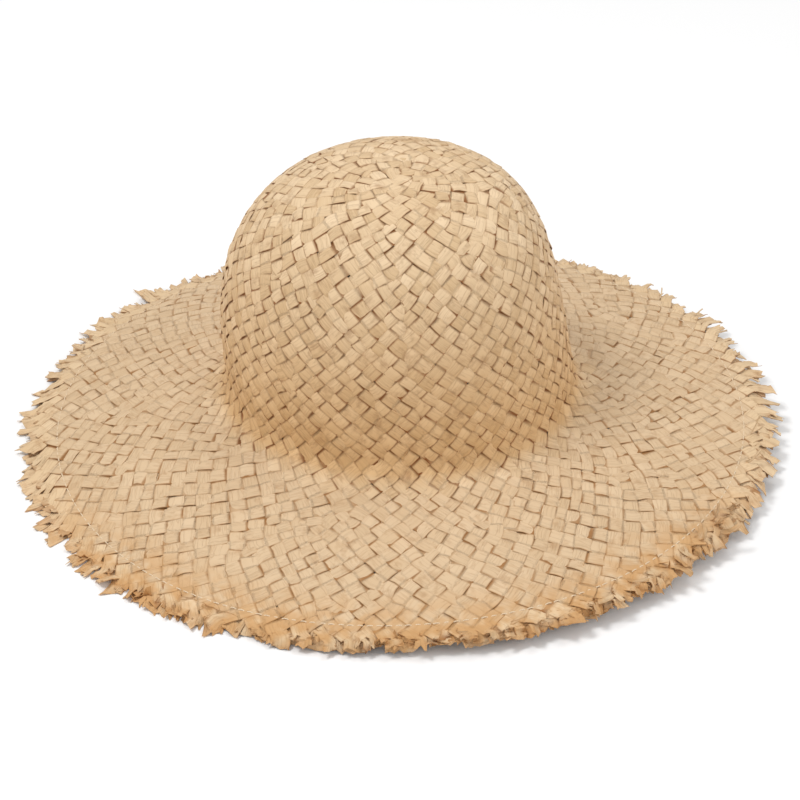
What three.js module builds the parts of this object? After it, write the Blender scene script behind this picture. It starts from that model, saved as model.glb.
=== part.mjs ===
// A wide-brimmed sun hat woven from flat straw strips, with a frayed brim edge.
// Millimetres, +Z up. The hat stands on the table (z = 0) on the tips of its fringe.
// The long axis of the head oval lies along X, and the side that is seen first faces -Y.
import * as THREE from 'three';

// Driving dimensions
const HEAD_HALF_X = 91;          // half widths of the crown wall at the head line
const HEAD_HALF_Y = 86;
const HEAD_LINE_Z = 43.5;        // height of the head line above the table
const DOME_HEIGHT = 119;         // from the head line to the top of the crown
const DOME_ROUNDNESS = 3.05;     // exponent of the dome's superellipse: 2 is an ellipse
const DOME_TAPER = 0.045;        // how much narrower the wall grows towards the top
const DOME_LEAN = -5;            // sideways bulge of the soft crown along X, at mid height
const FILLET_RADIUS = 13.5;      // bend from the crown wall into the brim
const BRIM_SLOPE = THREE.MathUtils.degToRad(14.5);
const RIM_HALF_X = 188;          // woven edge of the brim
const RIM_HALF_Y = 184;
const RIM_MEAN_Z = 8;            // mean height of the woven edge above the table
const RIM_WAVES = [              // how the soft brim dips and lifts: count, height, phase
  { count: 1, height: 5, phase: -15 },
  { count: 2, height: 2.2, phase: -15 },
  { count: 3, height: 2, phase: -85 },
];
const STRAW_THICKNESS = 1.6;     // two crossing strips, flattened
const GAP = 0.3;                 // between pieces that touch on the real hat
const BAND_GAP = 0.5;            // between the crown and the tape inside it

const SWEATBAND_HEIGHT = 28;
const SWEATBAND_THICKNESS = 1;
const THREAD_THICKNESS = 0.5;
const BAND_SEAM_HEIGHT = 3;      // sweatband seam above the head line
const EDGE_SEAM_INSET = 6;       // lock stitching, in from the woven edge
const LABEL_SIZE = { width: 24, thickness: 0.4, height: 14 };

const FRINGE_SECTORS = 24;
const TEETH_PER_SECTOR = 7;
const FRINGE_ROOT = 2.5;         // still tangled part that joins a sector's strip ends
const FRINGE_SHORT = 9;          // reach of the shortest and the longest strip ends
const FRINGE_LONG = 16;
const FRINGE_THICKNESS = 1;
const FRINGE_DROOP = Math.tan(THREE.MathUtils.degToRad(20));
const FRINGE_SAG = 2;            // the frayed ends hang from the underside of the edge
const TOOTH_FILL = 0.8;          // share of the pitch that a strip end covers

const AROUND = 60;               // facets around the crown and the brim
const DOME_RINGS = 12;
const DOME_RING_CROWDING = 1.5;  // rings lie closer together towards the head line
const FILLET_RINGS = 4;
const BRIM_RINGS = 6;

// Materials
const straw = (color) => new THREE.MeshStandardMaterial({ color, roughness: 0.75, metalness: 0 });
const crownStraw = () => straw(0xcbab82);
const brimStraw = () => straw(0xd6ba94);
const frayedStraw = () => straw(0xcfa878);
const cottonTape = () => new THREE.MeshStandardMaterial({ color: 0xd9cbb0, roughness: 0.9, metalness: 0 });
const thread = () => new THREE.MeshStandardMaterial({ color: 0xe3d5b8, roughness: 0.7, metalness: 0 });

// ---- The surface of the woven straw ----
// A place on it is a turn around the hat (radians from +X) and a station:
// 0 at the top of the crown, 1 at the head line, 2 where the bend ends, 3 at the woven edge.

const BEND_OUT = FILLET_RADIUS * (1 - Math.sin(BRIM_SLOPE));
const BEND_DOWN = FILLET_RADIUS * Math.cos(BRIM_SLOPE);

function rimHeight(turn) {
  let z = RIM_MEAN_Z;
  for (const { count, height, phase } of RIM_WAVES) {
    z += height * Math.cos(count * (turn - THREE.MathUtils.degToRad(phase)));
  }
  return z;
}

function domePoint(turn, station) {
  const angle = station * Math.PI / 2;
  const up = Math.max(0, Math.cos(angle)) ** (2 / DOME_ROUNDNESS);
  const out = Math.sin(angle) ** (2 / DOME_ROUNDNESS) * (1 - DOME_TAPER * up);
  return new THREE.Vector3(
    HEAD_HALF_X * out * Math.cos(turn) + DOME_LEAN * Math.sin(Math.PI * up),
    HEAD_HALF_Y * out * Math.sin(turn),
    HEAD_LINE_Z + DOME_HEIGHT * up,
  );
}

function bendPoint(turn, share) {
  const angle = share * (Math.PI / 2 - BRIM_SLOPE);
  const out = FILLET_RADIUS * (1 - Math.cos(angle));
  return new THREE.Vector3(
    (HEAD_HALF_X + out) * Math.cos(turn),
    (HEAD_HALF_Y + out) * Math.sin(turn),
    HEAD_LINE_Z - FILLET_RADIUS * Math.sin(angle),
  );
}

function brimPoint(turn, share) {
  const startX = HEAD_HALF_X + BEND_OUT;
  const startY = HEAD_HALF_Y + BEND_OUT;
  const startZ = HEAD_LINE_Z - BEND_DOWN;
  const straightDrop = Math.tan(BRIM_SLOPE) * (RIM_HALF_X - startX);
  const wave = rimHeight(turn) - (startZ - straightDrop);
  return new THREE.Vector3(
    THREE.MathUtils.lerp(startX, RIM_HALF_X, share) * Math.cos(turn),
    THREE.MathUtils.lerp(startY, RIM_HALF_Y, share) * Math.sin(turn),
    startZ - straightDrop * share + wave * share ** 2,
  );
}

function strawPoint(turn, station) {
  if (station <= 1) return domePoint(turn, station);
  if (station <= 2) return bendPoint(turn, station - 1);
  return brimPoint(turn, station - 2);
}

function strawNormal(turn, station) {
  const step = 1e-3;
  if (station < step) return new THREE.Vector3(0, 0, 1);
  const around = strawPoint(turn + step, station).sub(strawPoint(turn - step, station));
  const outward = strawPoint(turn, station + step).sub(strawPoint(turn, station - step));
  return outward.cross(around).normalize();
}

// Stations of a distance along the hat: up the wall from the head line, in from the woven edge
function stationUpWall(height) {
  return Math.acos((height / DOME_HEIGHT) ** (DOME_ROUNDNESS / 2)) / (Math.PI / 2);
}

function stationInFromEdge(distance) {
  return 3 - distance / (RIM_HALF_X - HEAD_HALF_X - BEND_OUT);
}

// ---- Building blocks ----

// A layer that follows the straw surface, between two heights above it (below it when negative)
function layer(name, material, stations, low, high) {
  const rings = stations.map((station, i) => ({ station, radius: station === 0 ? 0 : i + 1 }));
  const bottom = rings.map(({ radius }) => new THREE.Vector2(radius, -1));
  const top = rings.map(({ radius }) => new THREE.Vector2(radius, 1)).reverse();
  const profile = [...bottom, ...top];
  if (stations[0] !== 0) profile.push(bottom[0].clone());
  const geometry = new THREE.LatheGeometry(profile, AROUND);
  geometry.rotateX(Math.PI / 2);
  const position = geometry.getAttribute('position');
  for (let i = 0; i < position.count; i += 1) {
    const radius = Math.hypot(position.getX(i), position.getY(i));
    const turn = Math.atan2(position.getY(i), position.getX(i));
    const ring = rings.find((entry) => Math.abs(entry.radius - radius) < 0.1);
    const height = position.getZ(i) > 0 ? high : low;
    const point = strawPoint(turn, ring.station);
    point.addScaledVector(strawNormal(turn, ring.station), height);
    position.setXYZ(i, point.x, point.y, point.z);
  }
  return namedMesh(name, geometry, material);
}

function namedMesh(name, geometry, material) {
  geometry.computeVertexNormals();
  const mesh = new THREE.Mesh(geometry, material);
  mesh.name = name;
  return mesh;
}

function steps(from, to, count) {
  return Array.from({ length: count + 1 }, (_, i) => from + (to - from) * i / count);
}

// A thread laid as a ring on the straw or the tape, between two stations
function threadRing(name, from, to, low) {
  return layer(name, thread(), [from, to], low, low + THREAD_THICKNESS);
}

// ---- The pieces ----

function crown() {
  const dome = steps(0, 1, DOME_RINGS).map((share) => 1 - (1 - share) ** DOME_RING_CROWDING);
  const bend = steps(1, 2, FILLET_RINGS).slice(1);
  const half = STRAW_THICKNESS / 2;
  return layer('crown', crownStraw(), [...dome, ...bend], -half, half);
}

function brim() {
  const start = 2 + 3 - stationInFromEdge(GAP);
  const half = STRAW_THICKNESS / 2;
  return layer('brim', brimStraw(), steps(start, 3, BRIM_RINGS), -half, half);
}

function sweatband() {
  const high = -STRAW_THICKNESS / 2 - BAND_GAP;
  const stations = steps(stationUpWall(SWEATBAND_HEIGHT), stationUpWall(0), 3);
  return layer('sweatband', cottonTape(), stations, high - SWEATBAND_THICKNESS, high);
}

function sweatbandThread() {
  const high = -STRAW_THICKNESS / 2 - BAND_GAP - SWEATBAND_THICKNESS - GAP;
  const from = stationUpWall(BAND_SEAM_HEIGHT + THREAD_THICKNESS);
  return threadRing('sweatband_thread', from, stationUpWall(BAND_SEAM_HEIGHT), high - THREAD_THICKNESS);
}

function edgeThreads() {
  const from = stationInFromEdge(EDGE_SEAM_INSET + THREAD_THICKNESS);
  const to = stationInFromEdge(EDGE_SEAM_INSET);
  const clear = STRAW_THICKNESS / 2 + GAP;
  return [
    threadRing('edge_needle_thread', from, to, clear),
    threadRing('edge_bobbin_thread', from, to, -clear - THREAD_THICKNESS),
  ];
}

// A blank woven label, sewn flat against the sweatband at the back
function sizeLabel() {
  const { width, thickness, height } = LABEL_SIZE;
  const geometry = new THREE.BoxGeometry(width, thickness, height);
  const inset = STRAW_THICKNESS / 2 + 2 * BAND_GAP + SWEATBAND_THICKNESS + thickness / 2;
  const middle = (SWEATBAND_HEIGHT + BAND_SEAM_HEIGHT) / 2;
  const wall = strawPoint(Math.PI / 2, stationUpWall(middle + height / 2));
  const sagitta = (width / 2) ** 2 / (2 * HEAD_HALF_Y);
  const label = namedMesh('size_label', geometry, cottonTape());
  label.position.set(wall.x, wall.y - inset - sagitta, HEAD_LINE_Z + middle);
  return label;
}

// Repeatable scatter from 0 to 1 for strip end number k
function scatter(k) {
  const value = Math.sin(k * 12.9898) * 43758.5453;
  return value - Math.floor(value);
}

function fringeOutline(sector) {
  const pitch = 2 * Math.PI / (FRINGE_SECTORS * TEETH_PER_SECTOR);
  const first = sector * TEETH_PER_SECTOR;
  const place = (k, reach) => {
    const turn = k * pitch;
    return new THREE.Vector2((RIM_HALF_X + reach) * Math.cos(turn), (RIM_HALF_Y + reach) * Math.sin(turn));
  };
  const quarter = FRINGE_SECTORS * TEETH_PER_SECTOR / 4;
  const outline = [];
  for (let tooth = 0; tooth < TEETH_PER_SECTOR; tooth += 1) {
    const k = first + tooth;
    const atAxis = k % quarter === 0;
    const reach = atAxis ? FRINGE_LONG : THREE.MathUtils.lerp(FRINGE_SHORT, FRINGE_LONG, scatter(k));
    const cut = atAxis ? 1 : 0.7 + 0.3 * scatter(k + 0.5);
    const side = (1 - TOOTH_FILL) / 2;
    outline.push(place(k + side, FRINGE_ROOT));
    outline.push(place(k + side * 2, reach));
    outline.push(place(k + 1 - side * 2, reach * cut));
    outline.push(place(k + 1 - side, FRINGE_ROOT));
  }
  for (let tooth = TEETH_PER_SECTOR; tooth >= 0; tooth -= 1) {
    const inward = tooth === 0 || tooth === TEETH_PER_SECTOR ? (1 - TOOTH_FILL) / 2 : 0;
    const k = first + tooth + (tooth === 0 ? inward : -inward);
    outline.push(place(k, GAP));
  }
  return outline;
}

// One stretch of frayed strip ends: it droops on from the brim until it lies on the table
function fringe(sector) {
  const shape = new THREE.Shape(fringeOutline(sector));
  const geometry = new THREE.ExtrudeGeometry(shape, { depth: FRINGE_THICKNESS, bevelEnabled: false });
  const position = geometry.getAttribute('position');
  for (let i = 0; i < position.count; i += 1) {
    const turn = Math.atan2(position.getY(i) / RIM_HALF_Y, position.getX(i) / RIM_HALF_X);
    const reach = (Math.hypot(position.getX(i) / RIM_HALF_X, position.getY(i) / RIM_HALF_Y) - 1) * RIM_HALF_X;
    const underside = rimHeight(turn) - FRINGE_SAG - FRINGE_DROOP * reach;
    position.setZ(i, position.getZ(i) + Math.max(0, underside));
  }
  return namedMesh(`fringe_${String(sector + 1).padStart(2, '0')}`, geometry, frayedStraw());
}

const hat = new THREE.Group();
hat.add(crown(), brim(), sweatband(), sweatbandThread(), ...edgeThreads(), sizeLabel());
for (let sector = 0; sector < FRINGE_SECTORS; sector += 1) {
  hat.add(fringe(sector));
}

export default hat;
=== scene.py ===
"""A straw sun hat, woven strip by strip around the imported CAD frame, on a pale studio floor."""
import math

import bpy
import numpy as np
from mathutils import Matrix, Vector


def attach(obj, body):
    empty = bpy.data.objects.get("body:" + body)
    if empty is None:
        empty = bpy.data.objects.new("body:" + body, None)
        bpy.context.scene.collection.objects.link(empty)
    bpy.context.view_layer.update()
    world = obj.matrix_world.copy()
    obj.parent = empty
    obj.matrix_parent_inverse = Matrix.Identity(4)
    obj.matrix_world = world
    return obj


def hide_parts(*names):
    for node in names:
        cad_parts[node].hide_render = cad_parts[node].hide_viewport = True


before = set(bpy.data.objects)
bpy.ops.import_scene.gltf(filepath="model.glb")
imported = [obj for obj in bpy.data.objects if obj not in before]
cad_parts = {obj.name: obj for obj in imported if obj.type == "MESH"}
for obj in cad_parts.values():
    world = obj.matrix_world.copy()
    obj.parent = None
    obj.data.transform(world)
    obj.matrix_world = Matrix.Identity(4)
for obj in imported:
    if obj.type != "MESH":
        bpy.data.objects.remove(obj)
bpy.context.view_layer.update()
RNG = np.random.default_rng(41)
MM = 0.001

# ---- Sizes, in metres. The hat's form is the CAD part's, with the same names. ----
HEAD_HALF_X = 91 * MM            # half widths of the crown wall at the head line
HEAD_HALF_Y = 86 * MM
HEAD_LINE_Z = 43.5 * MM
DOME_HEIGHT = 119 * MM
DOME_ROUNDNESS = 3.05
DOME_TAPER = 0.045
DOME_LEAN = -5 * MM
FILLET_RADIUS = 13.5 * MM
BRIM_SLOPE = math.radians(14.5)
RIM_HALF_X = 188 * MM
RIM_HALF_Y = 184 * MM
RIM_MEAN_Z = 8 * MM
RIM_WAVES = ((1, 5 * MM, -15), (2, 2.2 * MM, -15), (3, 2 * MM, -85))
BEND_OUT = FILLET_RADIUS * (1 - math.sin(BRIM_SLOPE))
BEND_DOWN = FILLET_RADIUS * math.cos(BRIM_SLOPE)
STRAW_THICKNESS = 1.6 * MM
BAND_GAP = 0.5 * MM
SWEATBAND_HEIGHT = 28 * MM
SWEATBAND_THICKNESS = 1 * MM     # room that the CAD part gives the tape
BAND_SEAM_HEIGHT = 3 * MM
EDGE_SEAM_INSET = 6 * MM
LAP_TURN = math.radians(118)     # where the ends of the tape lap
LABEL_WIDTH = 24 * MM
LABEL_HEIGHT = 14 * MM

# The weave
PITCH_CROWN = 6.7 * MM           # from strip to strip
PITCH_RIM = 8.0 * MM
WEAVE_INSET = 0.5 * MM           # from the last crossings to the woven edge of the CAD brim
FILL_CROWN = 0.975               # share of its room that a strip covers
FILL_BRIM = 0.99
FILL_SPREAD = 0.065              # from the mean to the narrowest or the widest
LIFT_TOP = 0.34 * MM             # how far a strip rises and dips at a crossing
LIFT_CROWN = 0.43 * MM
LIFT_BRIM = 0.32 * MM
STRIP_CROWNING = 0.24 * MM       # how much lower a strip's edges lie than its middle
STRIP_THICKNESS = 0.28 * MM
STRIP_CREASE = 0.06 * MM
STRIP_TILT = 0.065               # how far the tiles roll to one side, in radians
SHINGLE_TILT_TOP = 0.03          # how far their outer long edges stand up
SHINGLE_TILT_CROWN = 0.06
SHINGLE_TILT_BRIM = 0.03
END_DIP = 0.12                   # how far their outer ends lie below their inner ends, as a share of the lift
WIDTH_SPREAD = 0.19              # how unlike the strips' widths are
WIDTH_WANDER = 0.06              # and how much each one's width wanders
FLOAT_SHARE = 0.008              # crossings where the weaver skipped one
SETTLING_STEPS = 160
CROSSING_JITTER = 0.3 * MM
ROW_STIFFNESS = 0.25             # of the ties along a row, against 1 along a strip
FIRM_HOLD = 0.5                  # how firmly the first and the last row stay where they are
LOOSE_HOLD = 0.03                # and the rows between them
SETTLING_STRIDE = 1.4
LEAST_ROOM = 0.65                # limits of a strip's room at a crossing, as a share of the pitch
MOST_ROOM = 1.2
TILE_HALF = 0.34                 # half length of the flat part of a tile, in crossings
TILE_SHOULDER = 0.86             # lift at both ends of the flat part
TILE_ROCK = 0.18
HIDDEN_CROWNING = 0.35           # share of the crowning that is left where a strip is pressed under

# The frayed edge
FRINGE_SECTORS = 24
FRINGE_REACH = (                 # reach of the strip ends, by turn in degrees
    (0, 14.3 * MM), (40, 14 * MM), (70, 9 * MM), (100, 10 * MM), (135, 15 * MM),
    (180, 15 * MM), (215, 16 * MM), (240, 12 * MM), (256, 7 * MM), (276, 5 * MM),
    (290, 8 * MM), (325, 10 * MM), (345, 13 * MM),
)
FRINGE_DROOP = 0.42              # slope of the hanging strip ends
TUCKED_DROOP = 1.5               # and where the edge is crumpled under, at the front
TABLE_CLEARANCE = 0.2 * MM
UNDERSIDE_SHADE = 0.4            # painted shade: how much browner the underside of a loose end is painted
TONGUE_STEPS = 7
SHORTEST_END = 0.76              # as a share of the reach
LONGEST_END = 1.13
DROOP_SPREAD = 0.14
COMBED = 0.6                     # how far the ends lean to the back, and those in front to the front
COMBED_FROM = 0.2                # sine of the turn where the lean changes over
AIM_SPREAD = 0.13
CRUMPLED_AIM = 0.3               # and more of each of these where the front edge is crumpled
END_ROLL = 0.07
CRUMPLED_ROLL = 0.16
TURNING = 0.42                   # how quickly an end turns to its aim
END_WOBBLE = 0.06
RAGGED_SPREAD = 0.55             # how oblique the tips are
CRUMPLED_RAGGED = 0.3
SPLAY = 2.8 * MM                 # how far the ends of crossing strips draw apart at the edge
SNAPPED_SHARE = 0.08             # strip ends that broke off short
SNAPPED_REACH = 0.45
SPLIT_SHARES = (0.72, 0.22, 0.06)    # strip ends with one, two and three tongues
SPLIT_PLACE = 0.28
ENDS_APART = 0.35 * MM           # between the ends that lean forwards and the ones below them
LINED_SHARE = 0.95               # strip ends with another one caught below them
LINING_DROP = -1 * MM
LINING_REACH = 0.62              # how far that one reaches, as a share
# Painted shade on the linings, which lie in the shade of the ends above them.
LINING_SHADE = 0.85
WISPS = 30
TUCKS = 46                       # strips caught along the underside of the front edge
FRONT_TURN = math.radians(-75)
TANGLE_TURN = math.radians(-38)
TANGLED_BITS = 34

# The tape, the label and the stitches
TAPE_LAP = 14 * MM
TAPE_THICKNESS = 0.7 * MM
TAPE_UPPER_WAVER = 0.25 * MM
TAPE_LOWER_WAVER = 0.12 * MM
LABEL_FLAP = 6 * MM              # what is folded under at each end
LABEL_FOLD = 0.3 * MM            # radius of the fold
LABEL_THICKNESS = 0.2 * MM
BAND_STITCH = 3 * MM
BAND_STITCH_GAP = 1.3 * MM
EDGE_STITCH = 3.4 * MM
EDGE_STITCH_GAP = 1.2 * MM
THREAD_WIDTH = 0.55 * MM
THREAD_THICKNESS = 0.3 * MM


# ---- The surface of the straw, as in the CAD part ----

def rim_height(turn):
    """Height of the woven edge above the table."""
    z = RIM_MEAN_Z + 0 * turn
    for count, height, phase in RIM_WAVES:
        z = z + height * np.cos(count * (turn - math.radians(phase)))
    return z


def straw_xyz(turn, station):
    """Points on the straw: station 0 is the top, 1 the head line, 2 the end of the bend, 3 the edge."""
    turn, station = np.broadcast_arrays(np.asarray(turn, float), np.asarray(station, float))
    dome = np.clip(station, 1e-6, 1) * math.pi / 2
    up = np.maximum(0, np.cos(dome)) ** (2 / DOME_ROUNDNESS)
    out = np.sin(dome) ** (2 / DOME_ROUNDNESS) * (1 - DOME_TAPER * up)
    bend = np.clip(station - 1, 0, 1) * (math.pi / 2 - BRIM_SLOPE)
    share = np.maximum(station - 2, 0)
    bent_out = FILLET_RADIUS * (1 - np.cos(bend))
    x_half = HEAD_HALF_X * out + bent_out + (RIM_HALF_X - HEAD_HALF_X - BEND_OUT) * share
    y_half = HEAD_HALF_Y * out + bent_out + (RIM_HALF_Y - HEAD_HALF_Y - BEND_OUT) * share
    drop = math.tan(BRIM_SLOPE) * (RIM_HALF_X - HEAD_HALF_X - BEND_OUT)
    wave = rim_height(turn) - (HEAD_LINE_Z - BEND_DOWN - drop)
    z = HEAD_LINE_Z + DOME_HEIGHT * up - FILLET_RADIUS * np.sin(bend) - drop * share + wave * share ** 2
    x = x_half * np.cos(turn) + DOME_LEAN * np.sin(math.pi * up)
    return np.stack([x, y_half * np.sin(turn), z], -1)


STATIONS = np.concatenate([np.linspace(0, 1, 1500), np.linspace(1, 3.4, 1500)[1:]])
MERIDIAN = straw_xyz(math.pi / 4, STATIONS)
ALONG = np.concatenate([[0], np.cumsum(np.linalg.norm(np.diff(MERIDIAN, axis=0), axis=1))])


def station_at(distance):
    """The station at a distance along the straw from the top of the crown."""
    return np.interp(distance, ALONG, STATIONS)


def distance_at(station):
    return np.interp(station, STATIONS, ALONG)


def straw_point(turn, distance):
    return straw_xyz(turn, station_at(distance))


def unit(vectors):
    return vectors / np.maximum(np.linalg.norm(vectors, axis=-1, keepdims=True), 1e-12)


def straw_frame(turn, distance):
    """Point, outward normal, and metres per radian of turn."""
    step_turn, step_out = 1e-3, 0.2 * MM
    around = straw_point(turn + step_turn, distance) - straw_point(turn - step_turn, distance)
    outward = straw_point(turn, distance + step_out) - straw_point(turn, np.maximum(distance - step_out, 0))
    normal = unit(np.cross(outward, around))
    return straw_point(turn, distance), normal, np.linalg.norm(around, axis=-1) / (2 * step_turn)


def girth(distance):
    loop = straw_point(np.linspace(0, 2 * math.pi, 121), distance)
    return float(np.linalg.norm(np.diff(loop, axis=0), axis=1).sum())


HEAD_LINE = distance_at(1)
BRIM_START = distance_at(2)
EDGE = distance_at(3)
WEAVE_END = EDGE - WEAVE_INSET


def pitch_at(distance):
    return np.interp(distance, [HEAD_LINE, EDGE], [PITCH_CROWN, PITCH_RIM])


def along_hat(distance, at_top, in_crown, in_brim):
    """A value that changes from the top of the crown to its wall, and again over the bend to the brim."""
    places = [HEAD_LINE / 3, HEAD_LINE * 2 / 3, HEAD_LINE, BRIM_START]
    return np.interp(distance, places, [at_top, in_crown, in_crown, in_brim])


# ---- The weave: rows of crossings, where a rising and a falling strip meet ----

def weave_rows():
    """Rows of crossings from the top outwards. New strips join as folded pairs where the girth grows."""
    rows = [[{"turn": (i + 0.5) * math.pi / 2, "a": i, "b": i} for i in range(4)]]
    distances = [pitch_at(0) / math.sqrt(2)]
    strands = 4
    while distances[-1] < WEAVE_END - 0.4 * PITCH_RIM:
        inner = rows[-1]
        distance = distances[-1] + pitch_at(distances[-1]) / math.sqrt(2)
        wanted = round(girth(distance) / (pitch_at(distance) * math.sqrt(2)))
        extra = max(0, wanted - len(inner))
        start = RNG.random()
        places = [(start + m + 0.35 * RNG.random()) * len(inner) / extra for m in range(extra)]
        joins = {int(place) % len(inner) for place in places}
        row = []
        for i, slot in enumerate(inner):
            after = inner[(i + 1) % len(inner)]
            if i in joins:
                row.append({"turn": slot["turn"], "a": strands, "b": strands})
                strands += 1
            gap = (after["turn"] - slot["turn"]) % (2 * math.pi)
            row.append({"turn": slot["turn"] + gap / 2, "a": slot["a"], "b": after["b"]})
        even = [2 * math.pi * i / len(row) for i in range(len(row))]
        drift = sum(complex(math.cos(s["turn"] - e), math.sin(s["turn"] - e)) for s, e in zip(row, even))
        for slot, place in zip(row, even):
            slot["turn"] = place + math.atan2(drift.imag, drift.real)
        rows.append(row)
        distances.append(distance)
    return rows, distances, strands


ROWS, ROW_DISTANCES, STRANDS = weave_rows()
SLOTS = [dict(slot, row=k) for k, row in enumerate(ROWS) for slot in row]
LAST_ROW = len(ROWS) - 1
CROWN_LAST_ROW = int(np.searchsorted(ROW_DISTANCES, BRIM_START))
TURN = np.array([slot["turn"] for slot in SLOTS])
OUT = np.array([ROW_DISTANCES[slot["row"]] for slot in SLOTS])
ROW = np.array([slot["row"] for slot in SLOTS])
ROW_OUT = OUT.copy()
STRIPS = {"a": [[] for _ in range(STRANDS)], "b": [[] for _ in range(STRANDS)]}
for index, slot in enumerate(SLOTS):
    STRIPS["a"][slot["a"]].append(index)
    STRIPS["b"][slot["b"]].append(index)
STRIP_SIZE = {
    family: np.clip(1 + WIDTH_SPREAD * RNG.standard_normal(STRANDS), 0.7, 1.35) for family in "ab"
}
OTHER = {"a": "b", "b": "a"}


def wrapped(angle):
    return (angle + math.pi) % (2 * math.pi) - math.pi


def relax_weave():
    """Lets the crossings settle, so that each strip gets the room that its width asks for."""
    global TURN, OUT
    size = {f: np.array([STRIP_SIZE[f][slot[f]] for slot in SLOTS]) * pitch_at(OUT) for f in "ab"}
    starts, ends, lengths, stiffness = [], [], [], []
    for family in "ab":
        for chain in STRIPS[family]:
            for i, j in zip(chain, chain[1:]):
                starts.append(i)
                ends.append(j)
                lengths.append((size[OTHER[family]][i] + size[OTHER[family]][j]) / 2)
                stiffness.append(1)
    first = 0
    for row in ROWS:
        for i in range(len(row)):
            starts.append(first + i)
            ends.append(first + (i + 1) % len(row))
            lengths.append(pitch_at(ROW_OUT[first]) * math.sqrt(2))
            stiffness.append(ROW_STIFFNESS)
        first += len(row)
    starts, ends = np.array(starts), np.array(ends)
    lengths, stiffness = np.array(lengths), np.array(stiffness)
    held = np.where((ROW == 0) | (ROW == LAST_ROW), FIRM_HOLD, LOOSE_HOLD)
    count = len(SLOTS)
    weight = np.bincount(starts, stiffness, count) + np.bincount(ends, stiffness, count)
    for _ in range(SETTLING_STEPS):
        per_radian = straw_frame(TURN, OUT)[2]
        dx = wrapped(TURN[ends] - TURN[starts]) * (per_radian[starts] + per_radian[ends]) / 2
        dy = OUT[ends] - OUT[starts]
        length = np.hypot(dx, dy) + 1e-9
        pull = stiffness * (length - lengths) / length / 2
        move_x = np.bincount(starts, pull * dx, count) - np.bincount(ends, pull * dx, count)
        move_y = np.bincount(starts, pull * dy, count) - np.bincount(ends, pull * dy, count)
        TURN = TURN + SETTLING_STRIDE * move_x / weight / per_radian
        OUT = OUT + SETTLING_STRIDE * move_y / weight
        OUT = OUT + held * (ROW_OUT - OUT)
    TURN = TURN + CROSSING_JITTER * RNG.standard_normal(count) / straw_frame(TURN, OUT)[2]
    OUT = OUT + CROSSING_JITTER * RNG.standard_normal(count)


relax_weave()
A_ON_TOP = (ROW % 2 == 0) ^ (RNG.random(len(SLOTS)) < FLOAT_SHARE)
POINTS = straw_point(TURN, OUT)
PLAN = np.stack([OUT * np.cos(TURN), OUT * np.sin(TURN)], -1)


def neighbour_spacing(family):
    """Room that each crossing leaves for the strip of this family: the mean reach to both sides."""
    room = np.zeros(len(SLOTS))
    count = np.zeros(len(SLOTS))
    for chain in STRIPS[OTHER[family]]:
        for i, j in zip(chain, chain[1:]):
            reach = np.linalg.norm(POINTS[i] - POINTS[j])
            for k in (i, j):
                room[k] += reach
                count[k] += 1
    pitch = pitch_at(OUT)
    mean = np.where(count > 0, room / np.maximum(count, 1), pitch)
    return np.clip(mean, LEAST_ROOM * pitch, MOST_ROOM * pitch)


ROOM = {family: neighbour_spacing(family) for family in "ab"}


# ---- Ribbons ----

ACROSS = np.array([-0.5, -0.3, 0, 0.3, 0.5])
SECTION_DROP = np.array([-1, -0.25, 0, -0.25, -1])
SHARP_ANGLE = math.radians(38)


class RibbonMesh:
    """Gathers ribbons, each a closed thin solid, into one mesh with its coordinates along the strips."""

    def __init__(self):
        self.points, self.faces, self.size = [], [], 0
        self.values = {"along": [], "across": [], "tone": [], "depth": []}

    def add(self, ribbon, loose=False):
        """One ribbon, with a section for each row of its arrays. A loose one shows both of its faces."""
        centre, side, normal = ribbon["centre"], ribbon["side"], ribbon["normal"]
        count = len(centre)
        height = SECTION_DROP * ribbon["drop"][:, None] + ribbon["crease"]
        top = centre[:, None] + side[:, None] * (ACROSS[:, None] * ribbon["width"][:, None, None])
        top = top + normal[:, None] * height[:, :, None] + ribbon.get("shift", 0)
        columns = slice(None, None, -1 if loose else -2)
        under = (top - normal[:, None] * np.reshape(ribbon["thickness"], (-1, 1, 1)))[:, columns]
        under_across = ACROSS[columns]
        ring = np.concatenate([top, under], axis=1)
        ring[:, :, 2] += np.maximum(0, TABLE_CLEARANCE - ring[:, :, 2].min(axis=1))[:, None]
        loops = ring.shape[1]
        for i in range(count - 1):
            a = self.size + i * loops
            for k in range(loops):
                n = (k + 1) % loops
                self.faces.append((a + k, a + n, a + loops + n, a + loops + k))
        self.faces.append(tuple(self.size + k for k in reversed(range(loops))))
        self.faces.append(tuple(self.size + (count - 1) * loops + k for k in range(loops)))
        self.points.append(ring.reshape(-1, 3))
        self.size += count * loops
        # Painted shade on the undersides: a loose end's underside is browner than its top, and a woven
        # strip's underside is dark where its top lies in the open.
        below = np.repeat(ribbon["depth"], loops).reshape(count, loops)
        hidden = below[:, len(ACROSS):]
        below[:, len(ACROSS):] = hidden - UNDERSIDE_SHADE if loose else -hidden
        self.values["along"].append(np.repeat(ribbon["along"], loops))
        outer = np.repeat(ribbon.get("outer", np.ones(count)), loops)
        self.values["across"].append(outer * np.tile(np.concatenate([ACROSS, under_across]), count))
        self.values["tone"].append(np.repeat(ribbon["tone"], loops))
        self.values["depth"].append(below.reshape(-1))

    def build(self, name, material):
        mesh = bpy.data.meshes.new(name)
        mesh.from_pydata(np.concatenate(self.points).tolist(), [], self.faces)
        for label, parts in self.values.items():
            attribute = mesh.attributes.new("strip_" + label, "FLOAT", "POINT")
            attribute.data.foreach_set("value", np.concatenate(parts).astype(np.float32))
        mesh.materials.append(material)
        mesh.polygons.foreach_set("use_smooth", np.ones(len(mesh.polygons), bool))
        mesh.set_sharp_from_angle(angle=SHARP_ANGLE)
        mesh.validate()
        mesh.update()
        piece = bpy.data.objects.new(name, mesh)
        bpy.context.scene.collection.objects.link(piece)
        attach(piece, "root")
        return piece


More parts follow.
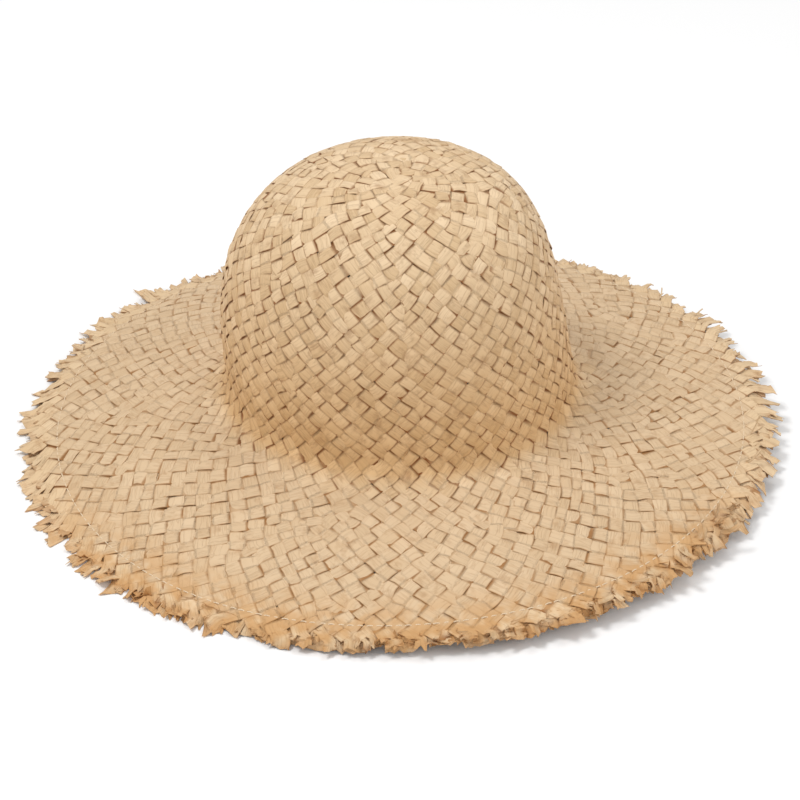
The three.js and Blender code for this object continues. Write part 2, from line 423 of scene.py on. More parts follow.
def ribbon_along(centre, side_hint, width, thickness, along=None, tone=0.5):
    """A plain ribbon on a path. side_hint points across it at each row."""
    count = len(centre)
    tangent = unit(np.gradient(centre, axis=0))
    side = unit(side_hint - tangent * (side_hint * tangent).sum(-1, keepdims=True))
    if along is None:
        along = np.concatenate([[0], np.cumsum(np.linalg.norm(np.diff(centre, axis=0), axis=1))])
    return {
        "centre": centre, "side": side, "normal": unit(np.cross(tangent, side)),
        "width": np.full(count, width), "thickness": thickness, "drop": np.zeros(count),
        "crease": np.zeros((count, len(ACROSS))), "along": along, "tone": np.full(count, tone),
        "depth": np.ones(count),
    }


def spline(values, t):
    """Catmull-Rom through values at whole numbers, and straight on past both ends."""
    values = np.asarray(values, float)
    count = len(values)
    if count == 1:
        return np.full(np.shape(t), values[0])
    padded = np.concatenate([[2 * values[0] - values[1]], values, [2 * values[-1] - values[-2]]])
    i = np.clip(np.floor(t).astype(int), 0, count - 2)
    f = t - i
    p0, p1, p2, p3 = padded[i], padded[i + 1], padded[i + 2], padded[i + 3]
    curve = 0.5 * (
        2 * p1 + (p2 - p0) * f + (2 * p0 - 5 * p1 + 4 * p2 - p3) * f ** 2
        + (3 * p1 - p0 - 3 * p2 + p3) * f ** 3
    )
    before = values[0] + (values[1] - values[0]) * t
    after = values[-1] + (values[-1] - values[-2]) * (t - count + 1)
    return np.where(t < 0, before, np.where(t > count - 1, after, curve))


def strip_samples(on_top):
    """Where to sample a strip along its crossings, how high it lies there, and its depth: painted shade, from
    -1 where crossing strips shade it to 1 in the open.
    """
    t, lift, depth = [-0.8, -0.5], [-1.2, -0.2 if on_top[0] else -1.0], [-1.0, -0.6]
    for i, over in enumerate(on_top):
        if over:
            rock = RNG.uniform(-TILE_ROCK, TILE_ROCK) + END_DIP
            t += [i - TILE_HALF, i, i + TILE_HALF]
            lift += [TILE_SHOULDER + rock, 1.0, TILE_SHOULDER - rock]
            depth += [0.6, 1.0, 0.9]
        else:
            t += [i]
            lift += [-1.0]
            depth += [-1.0]
        if i + 1 < len(on_top):
            following = on_top[i + 1]
            t += [i + 0.5]
            lift += [0.8 if over and following else (0.0 if over or following else -1.0)]
            # Painted shade: the stretch that comes out from under a crossing strip lies in the shadow of its
            # standing edge, the stretch that goes under is lighter.
            depth += [1.0 if over and following else (0.6 if over else -0.7)]
    return np.array(t), np.array(lift), np.array(depth)


def path_of(family, chain, t):
    """Turn and distance along a strip. The first strips run on across the top, into their neighbours."""
    plan = PLAN[chain]
    if ROW[chain[0]] == 0:
        before = PLAN[(chain[0] + (-1 if family == "a" else 1)) % len(ROWS[0])]
    else:
        before = 2 * plan[0] - plan[min(1, len(plan) - 1)]
    plan = np.concatenate([[before], plan])
    x, y = (spline(plan[:, axis], t + 1) for axis in (0, 1))
    return np.arctan2(y, x), np.maximum(np.hypot(x, y), 0.3 * MM)


def last_dip(on_top, rows, upto):
    """The number of the last crossing, no further out than a row, where the strip dips."""
    dips = [i for i, over in enumerate(on_top) if not over and rows[i] <= upto]
    return dips[-1] if dips else None


def scatter(t, count, spread):
    """A random value at each crossing, blended along the strip."""
    return np.interp(t, np.arange(-1, count + 1), RNG.normal(0, spread, count + 2))


def strip_ribbon(family, chain, t, lift, depth):
    """The ribbon of a strip over and under its crossings."""
    count = len(chain)
    turn, out = path_of(family, chain, t)
    point, normal, _ = straw_frame(turn, out)
    centre = point + normal * (lift * along_hat(out, LIFT_TOP, LIFT_CROWN, LIFT_BRIM))[:, None]
    tangent = unit(np.gradient(point, axis=0))
    side = unit(np.cross(normal, tangent))
    fill = along_hat(out, FILL_CROWN, FILL_CROWN, FILL_BRIM) + RNG.uniform(-FILL_SPREAD, FILL_SPREAD)
    width = spline(ROOM[family][chain], np.clip(t, 0, count - 1)) * fill
    width = width * (1 + scatter(t, count, WIDTH_WANDER))
    crease = np.zeros((len(t), len(ACROSS)))
    for column in (1, 2, 3):
        crease[:, column] = scatter(t, count, STRIP_CREASE)
    shingle = along_hat(out, SHINGLE_TILT_TOP, SHINGLE_TILT_CROWN, SHINGLE_TILT_BRIM)
    tilt = scatter(t, count, STRIP_TILT) + (shingle if family == "b" else -shingle)
    crease += tilt[:, None] * ACROSS * width[:, None]
    length = np.concatenate([[0], np.cumsum(np.linalg.norm(np.diff(point, axis=0), axis=1))])
    tile_tone = RNG.random(count + 1)[np.clip(np.round(t).astype(int), 0, count)]
    pressed = np.where(lift > -0.5, 1.0, HIDDEN_CROWNING)
    return {
        "centre": centre, "side": side, "normal": unit(np.cross(unit(np.gradient(centre, axis=0)), side)),
        "width": width, "thickness": np.full(len(t), STRIP_THICKNESS), "crease": crease,
        "drop": STRIP_CROWNING * pressed * RNG.uniform(0.7, 1.3), "along": length + RNG.uniform(0, 3),
        "tone": 0.4 * RNG.random() + 0.6 * tile_tone, "depth": depth, "tangent": tangent, "turn": turn,
        # Which long edge stands up and gets the painted shadow line.
        "outer": np.full(len(t), 1 if family == "b" else -1),
    }


def part_of(ribbon, low, high):
    return {key: values[low:high] for key, values in ribbon.items()}


def lay_strip(family, chain, crown, brim):
    """Lays a strip in the crown and the brim, and returns its end past its last dip."""
    on_top = A_ON_TOP[chain] == (family == "a")
    t, lift, depth = strip_samples(on_top)
    ribbon = strip_ribbon(family, chain, t, lift, depth)
    breaks = [0]
    for row in (CROWN_LAST_ROW, LAST_ROW):
        dip = last_dip(on_top, ROW[chain], row)
        breaks.append(0 if dip is None else int(np.argmin(np.abs(t - dip))))
    for mesh, low, high in ((crown, breaks[0], breaks[1]), (brim, breaks[1], breaks[2])):
        if high > low:
            mesh.add(part_of(ribbon, low, high + 1))
    return part_of(ribbon, breaks[2], len(t))


# ---- The frayed edge ----

def around_hat(turn, table):
    """A value from a table by turn in degrees."""
    places, values = zip(*table)
    return float(np.interp(math.degrees(turn), places, values, period=360))


def is_front(turn):
    """How far the edge is crumpled under: 1 at the front, 0 away from it."""
    return max(0.0, math.cos(turn - FRONT_TURN)) ** 2


def combed(turn):
    """Which way the strip ends lean: 1 to the back, -1 to the front."""
    return math.tanh(4 * (math.sin(turn) - COMBED_FROM))


def settle_on_table(point, heading, half_width, roll):
    """Keeps a strip end above the table, and lets it lie flat once it gets there."""
    lowest = 0.4 * MM + abs(math.sin(roll)) * half_width
    if point[2] < lowest:
        point[2] = lowest
        heading[2] = max(heading[2], 0.0)


def lay_tongue(end, mesh, place, share, raised, reaching=1.0, shaded=0.0):
    """One tongue of a split strip end: it turns outwards, crumples and droops to the table."""
    root_width = end["width"][-1]
    width = share * root_width
    point = end["centre"][-1] + end["side"][-1] * place * root_width
    turn = math.atan2(point[1] / RIM_HALF_Y, point[0] / RIM_HALF_X)
    outward = np.array([math.cos(turn), math.sin(turn), 0.0])
    around = np.array([-outward[1], outward[0], 0.0])
    front = is_front(turn)
    reach = around_hat(turn, FRINGE_REACH) * RNG.uniform(SHORTEST_END, LONGEST_END) * reaching
    if RNG.random() < SNAPPED_SHARE:
        reach *= SNAPPED_REACH
    droop = FRINGE_DROOP + (TUCKED_DROOP - FRINGE_DROOP) * front * RNG.random() + RNG.normal(0, DROOP_SPREAD)
    lean = np.array([0, COMBED * combed(turn), 0])
    stray = around * RNG.normal(0, AIM_SPREAD + CRUMPLED_AIM * front)
    aim = unit(outward + lean + stray + 0.2 * end["tangent"][-1])
    aim[2] = -droop
    aim = unit(aim)
    heading = end["tangent"][-1].copy()
    step = reach / TONGUE_STEPS
    splay = math.copysign(max(SPLAY - step, 0), heading @ around) / 2
    roll = 0.0
    points, sides, normals = [point], [end["side"][-1]], [end["normal"][-1]]
    for k in range(TONGUE_STEPS):
        heading = unit(heading + TURNING * (aim - heading) + RNG.normal(0, END_WOBBLE, 3))
        roll = np.clip(roll + RNG.normal(0, END_ROLL + CRUMPLED_ROLL * front), -0.8, 0.8)
        point = point + heading * step
        if k == 0:
            point = point + end["normal"][-1] * raised
        if k < 2:
            point = point + around * splay
        settle_on_table(point, heading, width / 2, roll)
        flat_side = unit(np.cross((0, 0, 1), heading))
        upright = np.cross(heading, flat_side)
        side = flat_side * math.cos(roll) + upright * math.sin(roll)
        points.append(point)
        sides.append(side)
        normals.append(np.cross(heading, side))
    count = TONGUE_STEPS + 1
    grown = np.linspace(0, 1, count)
    pleat = RNG.choice((-1, 1)) * RNG.uniform(0.05, 0.16) * width * np.array([0, 1, -0.7, 0.8, 0])
    crease = np.outer(grown, pleat) + RNG.normal(0, 0.1 * MM, (count, len(ACROSS))) * grown[:, None]
    shift = np.zeros((count, len(ACROSS), 3))
    oblique = RNG.normal(0, RAGGED_SPREAD - CRUMPLED_RAGGED * front)
    ragged = oblique * ACROSS * width + RNG.normal(0, 0.7 * MM, len(ACROSS))
    shift[-1] = ragged[:, None] * heading
    shift[-2] = 0.45 * ragged[:, None] * heading
    tone = np.clip(0.5 * end["tone"][-1] + 0.5 * RNG.random() - 0.25 * (RNG.random() < 0.25), 0, 1)
    widening = RNG.uniform(-0.3, 0.2) + 0.3 * front
    mesh.add({
        "centre": np.array(points), "side": np.array(sides), "normal": np.array(normals),
        "width": width * (1 + widening * grown) * (1 + RNG.normal(0, 0.02, count)),
        "thickness": STRIP_THICKNESS * 0.9, "drop": STRIP_CROWNING * (1 - grown), "crease": crease,
        "shift": shift, "along": end["along"][-1] + step * np.arange(count), "tone": np.full(count, tone),
        # Painted shade: each end darkens towards its tip, most where the front edge is tucked under, and a
        # lining darker by its shaded share.
        "depth": 0.9 - shaded - (0.3 + 1.5 * front * RNG.uniform(0.2, 1)) * grown,
        "outer": np.full(count, RNG.choice((-1, 1))),
    }, loose=True)


def fray(end, mesh):
    """Splits a strip end into one, two or three tongues, most of them with a lining below."""
    forwards = end["tangent"][-1][1] * combed(end["turn"][-1]) > 0
    if len(end["centre"]) > 1:
        mesh.add(end)
    tongues = RNG.choice((1, 2, 3), p=SPLIT_SHARES)
    cuts = np.concatenate([[-0.5], np.sort(RNG.uniform(-SPLIT_PLACE, SPLIT_PLACE, tongues - 1)), [0.5]])
    if RNG.random() < LINED_SHARE:
        lay_tongue(end, mesh, 0, 1, LINING_DROP, LINING_REACH, LINING_SHADE)
    for low, high in zip(cuts, cuts[1:]):
        raised = (ENDS_APART if forwards else -ENDS_APART) + RNG.uniform(-0.15, 0.15) * MM
        lay_tongue(end, mesh, (low + high) / 2, max(high - low, 0.12), raised)


def wisp(mesh, turn, width, curliness):
    """A thin torn fibre that curls away from the edge."""
    point, normal, _ = straw_frame(turn, EDGE + RNG.uniform(-4, 4) * MM)
    outward = unit(point * (1, 1, 0))
    around = np.cross((0, 0, 1), outward)
    heading = unit(outward + around * RNG.normal(0, 0.8) + (0, 0, RNG.uniform(-0.3, 0.3)))
    curl = RNG.normal(0, curliness, 3)
    length = RNG.uniform(6, 15) * MM
    steps = 9
    points = [point]
    for _ in range(steps):
        heading = unit(heading + curl)
        point = point + heading * length / steps
        point[2] = max(point[2], 0.5 * MM)
        points.append(point)
    side = np.tile(np.cross(normal, heading), (steps + 1, 1))
    ribbon = ribbon_along(np.array(points), side, width, 0.2 * MM, tone=RNG.random())
    ribbon["depth"] = np.full(steps + 1, RNG.uniform(0.1, 0.9))
    mesh.add(ribbon, loose=True)


def tuck(mesh, turn):
    """A crumpled strip end caught along the underside of the front edge."""
    count = 9
    length = RNG.uniform(12, 30) * MM
    turns = turn + np.linspace(-0.5, 0.5, count) * length / RIM_HALF_Y
    point, normal, _ = straw_frame(turns, EDGE + RNG.uniform(-1, 4) * MM + RNG.normal(0, 0.7 * MM, count))
    centre = point - normal * (RNG.uniform(1.8, 3.8) * MM + RNG.normal(0, 0.35 * MM, count))[:, None]
    width = RNG.uniform(3, 6.5) * MM
    lean = RNG.uniform(0.2, 1.1)
    centre[:, 2] = np.maximum(centre[:, 2], 0.6 * MM + math.sin(lean) * width / 2)
    side = unit(point * (1, 1, 0)) * math.cos(lean) - np.array([0, 0, math.sin(lean)])
    ribbon = ribbon_along(centre, side + RNG.normal(0, 0.2, (count, 3)), width, 0.25 * MM, tone=RNG.random())
    ribbon["crease"] = RNG.normal(0, 0.45 * MM, (count, len(ACROSS)))
    # Painted shade: a tuck lies under the front edge and is painted browner, by a random amount.
    ribbon["depth"] = np.full(count, RNG.uniform(-0.1, 0.6))
    mesh.add(ribbon, loose=True)


# ---- The band inside the crown, and the stitches ----

def station_up_wall(height):
    return math.acos((height / DOME_HEIGHT) ** (DOME_ROUNDNESS / 2)) / (math.pi / 2)


def inside_wall(turn, height, depth):
    """Points inside the crown, by height above the head line and depth in from the middle of the straw."""
    point, normal, _ = straw_frame(turn, distance_at(station_up_wall(height)) + 0 * turn)
    return point - normal * depth


def band_path(height, depth, from_turn, to_turn, samples):
    """Turns, centre line and upward direction of a tape on the inside of the wall."""
    turns = np.linspace(from_turn, to_turn, samples)
    centre = inside_wall(turns, height, depth)
    upwards = inside_wall(turns, height + 2 * MM, depth) - inside_wall(turns, height - 2 * MM, depth)
    return turns, centre, upwards


def sweatband(material):
    """Cotton tape round the inside of the crown. Its ends lap at the back, beside the label."""
    lap = TAPE_LAP / HEAD_HALF_Y
    depth = STRAW_THICKNESS / 2 + BAND_GAP + SWEATBAND_THICKNESS / 2
    turns, centre, upwards = band_path(
        SWEATBAND_HEIGHT / 2, depth, LAP_TURN - lap, LAP_TURN + 2 * math.pi, 240
    )
    lapped = np.clip((turns - turns[-1] + 1.6 * lap) / (0.4 * lap), 0, 1) * SWEATBAND_THICKNESS * 0.9
    inwards = -unit(centre * (1, 1, 0))
    centre = centre + inwards * lapped[:, None]
    tape = ribbon_along(centre, upwards, SWEATBAND_HEIGHT, TAPE_THICKNESS)
    waves = 60
    tape["crease"][:, -1] = scatter(np.linspace(0, waves, len(turns)), waves, TAPE_UPPER_WAVER)
    tape["crease"][:, 0] = scatter(np.linspace(0, waves, len(turns)), waves, TAPE_LOWER_WAVER)
    mesh = RibbonMesh()
    mesh.add(tape, loose=True)
    piece = mesh.build("cotton_sweatband", material)
    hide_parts("sweatband")


def stitch_row(name, node, point_at, normal_at, loop_length, stitch, gap, material):
    """Separate running stitches along a closed path, given by its turn."""
    mesh = RibbonMesh()
    count = int(loop_length / (stitch + gap))
    for i in range(count):
        start = 2 * math.pi * i / count
        turns = start + np.linspace(0, 1, 4) * 2 * math.pi / count * stitch / (stitch + gap)
        turns = turns + RNG.normal(0, 0.0006)
        arch = np.array([-0.35, 0.12, 0.12, -0.35]) * MM
        centre = point_at(turns) + normal_at(turns) * arch[:, None]
        side = np.cross(normal_at(turns), unit(np.gradient(centre, axis=0)))
        ribbon = ribbon_along(centre, side, THREAD_WIDTH, THREAD_THICKNESS, tone=RNG.random())
        ribbon["drop"][:] = 0.14 * MM
        mesh.add(ribbon)
    piece = mesh.build(name, material)
    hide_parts(node)


def all_stitches(material):
    """The band's seam, and the upper and lower thread of the edge's seam."""
    seam_depth = STRAW_THICKNESS / 2 + BAND_GAP + SWEATBAND_THICKNESS

    def band_point(turns):
        return inside_wall(turns, BAND_SEAM_HEIGHT, seam_depth)

    def band_normal(turns):
        return -straw_frame(turns, distance_at(station_up_wall(BAND_SEAM_HEIGHT)) + 0 * turns)[1]

    def edge_normal(turns):
        return straw_frame(turns, EDGE - EDGE_SEAM_INSET + 0 * turns)[1]

    def under_normal(turns):
        return -edge_normal(turns)

    def edge_point(turns):
        seam = straw_point(turns, EDGE - EDGE_SEAM_INSET + 0 * turns)
        return seam + edge_normal(turns) * 1.6 * LIFT_BRIM

    def under_point(turns):
        seam = straw_point(turns, EDGE - EDGE_SEAM_INSET + 0 * turns)
        return seam - edge_normal(turns) * 3 * LIFT_BRIM

    band_loop = girth(distance_at(station_up_wall(BAND_SEAM_HEIGHT)))
    edge_loop = girth(EDGE - EDGE_SEAM_INSET)
    stitch_row(
        "band_stitches", "sweatband_thread", band_point, band_normal,
        band_loop, BAND_STITCH, BAND_STITCH_GAP, material,
    )
    stitch_row(
        "edge_stitches", "edge_needle_thread", edge_point, edge_normal,
        edge_loop, EDGE_STITCH, EDGE_STITCH_GAP, material,
    )
    stitch_row(
        "edge_under_stitches", "edge_bobbin_thread", under_point, under_normal,
        edge_loop, EDGE_STITCH, EDGE_STITCH_GAP, material,
    )


def size_label(material):
    """A blank woven label with its two ends folded under."""
    half = LABEL_WIDTH / 2
    fold = LABEL_FOLD
    low = STRAW_THICKNESS / 2 + BAND_GAP + SWEATBAND_THICKNESS + 0.35 * MM
    arc = np.radians(np.linspace(0, 180, 7))
    right_x = half - fold + fold * np.sin(arc)
    right_d = low + fold * (1 + np.cos(arc))
    over_x = np.linspace(-half + fold, half - fold, 12)[1:-1]
    path_x = np.concatenate([[-half + LABEL_FLAP], -right_x[::-1], over_x, right_x, [half - LABEL_FLAP]])
    path_d = np.concatenate([[low], right_d[::-1], np.full(len(over_x), low + 2 * fold), right_d, [low]])
    turns = math.pi / 2 - path_x / HEAD_HALF_Y
    height = (SWEATBAND_HEIGHT + BAND_SEAM_HEIGHT) / 2
    centre = np.array([inside_wall(np.array([t]), height, d)[0] for t, d in zip(turns, path_d)])
    middle = np.array([math.pi / 2])
    upwards = unit(inside_wall(middle, height + MM, low) - inside_wall(middle, height, low))
    mesh = RibbonMesh()
    ribbon = ribbon_along(centre, np.tile(upwards, (len(turns), 1)), LABEL_HEIGHT, LABEL_THICKNESS)
    mesh.add(ribbon, loose=True)
    piece = mesh.build("blank_size_label", material)
    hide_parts("size_label")


# ---- Materials ----

# The third colour of each straw serves both for real brown blotches and for painted shade along strip edges,
# in creases and in dips.
CROWN_LIGHT = (0.83, 0.63, 0.41, 1)
CROWN_DARK = (0.60, 0.405, 0.215, 1)
CROWN_BLOTCH_AND_SHADE = (0.24, 0.085, 0.018, 1)
CROWN_SHADE = (0.93, 0.81, 0.645, 1)     # painted shade low on the wall, where the top light falls less
BRIM_LIGHT = (0.74, 0.55, 0.352, 1)
BRIM_DARK = (0.63, 0.443, 0.26, 1)
BRIM_BLOTCH_AND_SHADE = (0.35, 0.16, 0.05, 1)
FRAYED_LIGHT = (0.80, 0.60, 0.38, 1)
FRAYED_DARK = (0.68, 0.48, 0.275, 1)
FRAYED_BLOTCH_AND_SHADE = (0.28, 0.10, 0.02, 1)
STAIN = (0.60, 0.33, 0.13, 1)            # the browner straw along the front edge
TAPE_LIGHT = (0.80, 0.72, 0.57, 1)
TAPE_DARK = (0.66, 0.57, 0.42, 1)
LABEL_LIGHT = (0.86, 0.83, 0.76, 1)
LABEL_DARK = (0.78, 0.74, 0.66, 1)
THREAD_DARK = (0.70, 0.54, 0.36, 1)
THREAD_LIGHT = (0.86, 0.70, 0.50, 1)


class Shader:
    """A Principled material, and short ways to add nodes to it."""

    def __init__(self, name):
        self.material = bpy.data.materials.new(name)
        self.material.use_nodes = True
        self.nodes = self.material.node_tree.nodes
        self.links = self.material.node_tree.links
        self.surface = self.nodes["Principled BSDF"]

    def put(self, socket, value):
        if isinstance(value, bpy.types.NodeSocket):
            self.links.new(value, socket)
        else:
            socket.default_value = value

    def strip(self, label):
        node = self.nodes.new("ShaderNodeAttribute")
        node.attribute_name = "strip_" + label
        return node.outputs["Fac"]

    def place(self):
        return self.nodes.new("ShaderNodeTexCoord").outputs["Object"]

    def axes(self):
        node = self.nodes.new("ShaderNodeSeparateXYZ")
        self.put(node.inputs[0], self.place())
        return node.outputs

    def radius(self):
        """Distance from the middle of the hat."""
        node = self.nodes.new("ShaderNodeVectorMath")
        node.operation = "LENGTH"
        self.put(node.inputs[0], self.place())
        return node.outputs["Value"]

    def math(self, operation, first, second=0.0):
        node = self.nodes.new("ShaderNodeMath")
        node.operation = operation
        self.put(node.inputs[0], first)
        self.put(node.inputs[1], second)
        return node.outputs[0]

    def vector(self, x, y, z):
        node = self.nodes.new("ShaderNodeCombineXYZ")
        for socket, value in zip(node.inputs, (x, y, z)):
            self.put(socket, value)
        return node.outputs[0]

    def mix(self, share, first, second, blend="MIX"):
        node = self.nodes.new("ShaderNodeMix")
        node.data_type = "RGBA"
        node.blend_type = blend
        for socket, value in zip((node.inputs[0], node.inputs[6], node.inputs[7]), (share, first, second)):
            self.put(socket, value)
        return node.outputs[2]

    def noise(self, vector, scale, detail=3.0, roughness=0.6):
        node = self.nodes.new("ShaderNodeTexNoise")
        values = {"Vector": vector, "Scale": scale, "Detail": detail, "Roughness": roughness}
        for label, value in values.items():
            self.put(node.inputs[label], value)
        return node.outputs["Fac"]

    def ramp(self, value, low, high, to_low=0.0, to_high=1.0):
        node = self.nodes.new("ShaderNodeMapRange")
        numbers = {"From Min": low, "From Max": high, "To Min": to_low, "To Max": to_high}
        for label, number in numbers.items():
            node.inputs[label].default_value = number
        self.put(node.inputs["Value"], value)
        return node.outputs["Result"]

    def bump(self, height, distance, strength=1.0):
        node = self.nodes.new("ShaderNodeBump")
        node.inputs["Strength"].default_value = strength
        node.inputs["Distance"].default_value = distance
        self.put(node.inputs["Height"], height)
        self.put(self.surface.inputs["Normal"], node.outputs["Normal"])


def straw_material(name, light, dark, blotch_and_shade, blotch=0.4, inner_edge_shade=0.2, shade=None):
    """Matt paper straw: fibres and creases run along each strip, and its creases, edges and dips are painted
    browner as shade.
    """
    s = Shader(name)
    s.surface.inputs["Specular IOR Level"].default_value = 0.28
    along, across, tone, depth = (s.strip(label) for label in ("along", "across", "tone", "depth"))
    tone_shift = s.math("MULTIPLY", tone, 57)
    strip_space = s.vector(s.math("MULTIPLY", along, 60), s.math("MULTIPLY", across, 11), tone_shift)
    fibres = s.noise(strip_space, 1.6, 3)
    crumple = s.vector(s.math("MULTIPLY", along, 45), s.math("MULTIPLY", across, 3.4), tone_shift)
    creases = s.math("ABSOLUTE", s.math("SUBTRACT", s.noise(crumple, 1.1, 1.0), 0.5))
    creased = s.ramp(creases, 0.0, 0.035, 1.0, 0.0)
    blotches = s.noise(s.place(), 130, 3)
    colour = s.mix(tone, dark, light)
    colour = s.mix(s.ramp(fibres, 0.35, 0.7, 0, 0.4), colour, light)
    colour = s.mix(s.ramp(blotches, 0.56, 0.76, 0, blotch), colour, blotch_and_shade)
    # Painted shade in the crease lines.
    colour = s.mix(s.math("MULTIPLY", creased, 0.22), colour, blotch_and_shade)
    # Painted shade: each tile darkens towards its outer long edge.
    colour = s.mix(s.ramp(across, 0, 0.5, 0, 0.25), colour, dark)
    # Painted shadow along the outer long edge of each strip, which stands up and shades the strip beside it;
    # it comes and goes in patches.
    patchy_shade = s.ramp(s.noise(s.place(), 75, 1), 0.38, 0.6, 0.3, 1)
    colour = s.mix(s.math("MULTIPLY", patchy_shade, s.ramp(across, 0.42, 0.5, 0, 0.8)), colour, blotch_and_shade)
    # Painted shade along the inner long edges, stronger on the loose ends, where it darkens the slits between
    # them.
    colour = s.mix(s.ramp(across, -0.45, -0.5, 0, inner_edge_shade), colour, blotch_and_shade)
    # Painted shade in the dips, where a strip runs under its neighbours or comes out from under them.
    colour = s.mix(s.math("MULTIPLY", patchy_shade, s.ramp(depth, 0.35, -0.75, 0, 0.95)), colour, blotch_and_shade)
    _, y, z = s.axes()
    at_front_edge = s.math("MULTIPLY", s.ramp(s.radius(), 0.158, 0.183), s.ramp(y, -0.05, -0.12))
    stained = s.math("MULTIPLY", at_front_edge, s.ramp(s.noise(s.place(), 85, 2), 0.35, 0.56))
    colour = s.mix(s.math("MULTIPLY", stained, 0.85), colour, STAIN)
    # Painted shade low on the crown wall, which the top light reaches less; it fades out over the bend.
    if shade:
        wall_shade = s.math("MULTIPLY", s.ramp(z, 0.15, 0.05), s.ramp(z, 0.0305, 0.036))
        colour = s.mix(wall_shade, colour, s.mix(1.0, colour, shade, "MULTIPLY"))
    s.put(s.surface.inputs["Base Color"], colour)
    s.put(s.surface.inputs["Roughness"], s.ramp(fibres, 0.2, 0.8, 0.5, 0.78))
    s.bump(s.math("SUBTRACT", fibres, s.math("MULTIPLY", creased, 0.5)), 0.3 * MM, 0.85)
    return s.material


def tape_material(name, light, dark, rib):
    """Woven cotton with ribs across the tape."""
    s = Shader(name)
    s.surface.inputs["Specular IOR Level"].default_value = 0.15
    along, across = s.strip("along"), s.strip("across")
    ribs = s.math("SINE", s.math("MULTIPLY", along, 2 * math.pi / rib))
    threads_across = 40
    threads = s.math("SINE", s.math("MULTIPLY", across, 2 * math.pi * threads_across))
    woven = s.math("MULTIPLY", ribs, s.math("ADD", s.math("MULTIPLY", threads, 0.35), 0.65))
    wear = s.noise(s.place(), 90, 4)
    colour = s.mix(s.ramp(woven, -0.6, 0.8), dark, light)
    colour = s.mix(s.ramp(wear, 0.45, 0.8, 0, 0.35), colour, dark)
    s.put(s.surface.inputs["Base Color"], colour)
    s.put(s.surface.inputs["Roughness"], s.ramp(wear, 0.2, 0.8, 0.8, 0.95))
    s.bump(woven, 0.12 * MM)
    return s.material


def thread_material():
    """Two-ply sewing thread."""
    s = Shader("sewing_thread")
    s.surface.inputs["Specular IOR Level"].default_value = 0.3
    s.surface.inputs["Roughness"].default_value = 0.6
    ply_spacing = 0.8976 * MM
    slant = s.math("ADD", s.strip("along"), s.math("MULTIPLY", s.strip("across"), 0.5 * MM))
    plies = s.math("SINE", s.math("MULTIPLY", slant, 2 * math.pi / ply_spacing))
    colour = s.mix(s.ramp(plies, -1, 1), THREAD_DARK, THREAD_LIGHT)
    s.put(s.surface.inputs["Base Color"], colour)
    s.bump(plies, 0.05 * MM)
    return s.material


def floor_material():
    s = Shader("pale_floor")
    s.surface.inputs["Base Color"].default_value = (0.96, 0.96, 0.96, 1)
    s.surface.inputs["Roughness"].default_value = 0.95
    s.surface.inputs["Specular IOR Level"].default_value = 0.0
    return s.material


# ---- Building the hat ----

def weave_hat():
    """The crown, the brim and the 24 stretches of the frayed edge."""
    crown_straw = straw_material(
        "crown_straw", CROWN_LIGHT, CROWN_DARK, CROWN_BLOTCH_AND_SHADE, shade=CROWN_SHADE,
    )
    brim_straw = straw_material("brim_straw", BRIM_LIGHT, BRIM_DARK, BRIM_BLOTCH_AND_SHADE)
    frayed_straw = straw_material(
        "frayed_straw", FRAYED_LIGHT, FRAYED_DARK, FRAYED_BLOTCH_AND_SHADE, blotch=0.45, inner_edge_shade=0.6,
    )
    crown, brim = RibbonMesh(), RibbonMesh()
    ends = []
    for family in "ab":
        for strand in range(STRANDS):
            chain = STRIPS[family][strand]
            ends.append(lay_strip(family, chain, crown, brim))
    crown = crown.build("woven_crown", crown_straw)
    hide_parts("crown")
    brim = brim.build("woven_brim", brim_straw)
    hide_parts("brim")
    sectors = [RibbonMesh() for _ in range(FRINGE_SECTORS)]

    def sector_of(turn):
        return int((turn % (2 * math.pi)) / (2 * math.pi) * FRINGE_SECTORS) % FRINGE_SECTORS

    for end in ends:
        fray(end, sectors[sector_of(end["turn"][-1])])
    for _ in range(WISPS):
        turn = RNG.uniform(0, 2 * math.pi)
        wisp(sectors[sector_of(turn)], turn, RNG.uniform(0.4, 1.0) * MM, 0.16)
    for _ in range(TUCKS):
        turn = FRONT_TURN + RNG.normal(-0.15, 0.5)
        tuck(sectors[sector_of(turn)], turn)
    for _ in range(TANGLED_BITS):
        turn = TANGLE_TURN + RNG.normal(0, 0.17)
        wisp(sectors[sector_of(turn)], turn, RNG.uniform(1.2, 3.5) * MM, 0.3)
    for number, sector in enumerate(sectors, 1):
        piece = sector.build(f"frayed_ends_{number:02d}", frayed_straw)
        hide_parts(f"fringe_{number:02d}")


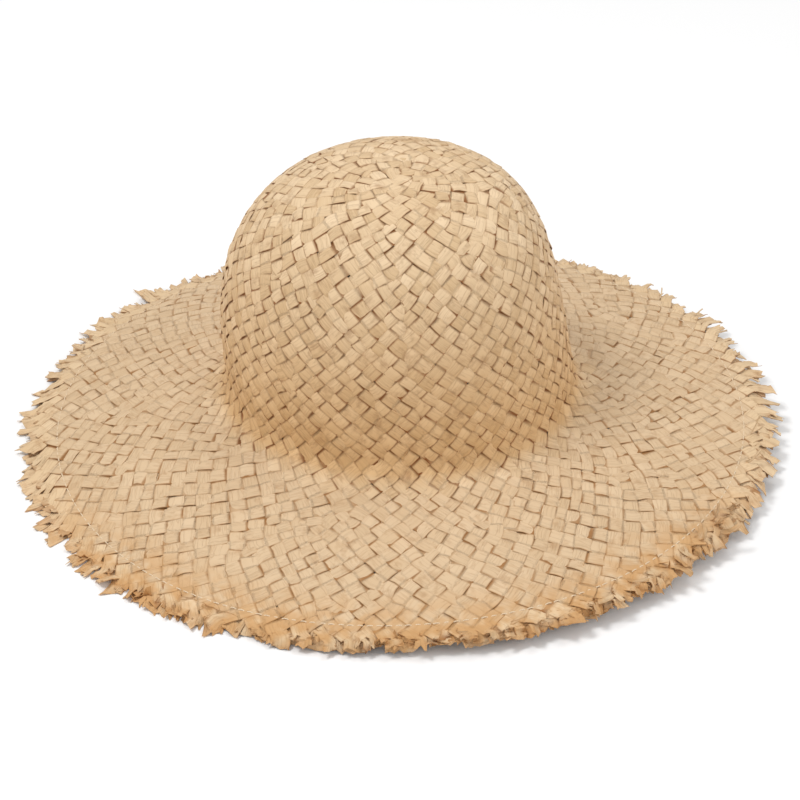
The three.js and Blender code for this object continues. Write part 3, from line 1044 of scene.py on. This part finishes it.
def finish_inside():
    sweatband(tape_material("cotton_tape", TAPE_LIGHT, TAPE_DARK, 1.1 * MM))
    size_label(tape_material("label_cotton", LABEL_LIGHT, LABEL_DARK, 0.5 * MM))
    all_stitches(thread_material())


# ---- The studio ----

CAMERA_ELEVATION = math.radians(32)
CAMERA_DISTANCE = 1.5
CAMERA_TARGET = Vector((0, 0, 86 * MM))
VIEW_WIDTH = 415.6 * MM          # what the picture takes in at the target
VIEW_SHIFT = -0.129              # the target lies above the middle of the picture
SENSOR_WIDTH = 36                # millimetres, as Blender gives it


def camera():
    data = bpy.data.cameras.new("camera")
    data.sensor_width = SENSOR_WIDTH
    data.lens = SENSOR_WIDTH * CAMERA_DISTANCE / VIEW_WIDTH
    data.shift_y = VIEW_SHIFT
    holder = bpy.data.objects.new("camera", data)
    forward = Vector((0, math.cos(CAMERA_ELEVATION), -math.sin(CAMERA_ELEVATION)))
    holder.location = CAMERA_TARGET - forward * CAMERA_DISTANCE
    holder.rotation_euler = forward.to_track_quat("-Z", "Y").to_euler()
    bpy.context.scene.collection.objects.link(holder)
    bpy.context.scene.camera = holder


def area_light(name, place, size, power):
    data = bpy.data.lights.new(name, "AREA")
    data.shape = "DISK"
    data.size = size
    data.energy = power
    lamp = bpy.data.objects.new(name, data)
    lamp.location = place
    lamp.rotation_euler = (Vector((0, 0, 0.08)) - Vector(place)).to_track_quat("-Z", "Y").to_euler()
    bpy.context.scene.collection.objects.link(lamp)


def studio():
    world = bpy.data.worlds.new("studio")
    bpy.context.scene.world = world
    world.use_nodes = True
    background = world.node_tree.nodes["Background"]
    background.inputs["Color"].default_value = (1, 1, 1, 1)
    background.inputs["Strength"].default_value = 0.58
    area_light("key", (-0.7, -0.2, 1.5), 0.5, 10.7)
    area_light("top", (0.3, 0.5, 1.7), 0.7, 4)
    area_light("right", (1.6, -0.5, 0.9), 1.0, 6.9)
    area_light("front", (-0.2, -1.7, 0.9), 1.0, 3)
    bpy.ops.mesh.primitive_plane_add(size=8)
    floor = bpy.context.object
    floor.name = "floor"
    floor.data.materials.append(floor_material())


camera()
weave_hat()
finish_inside()
studio()
bpy.context.scene.view_settings.view_transform = "Standard"
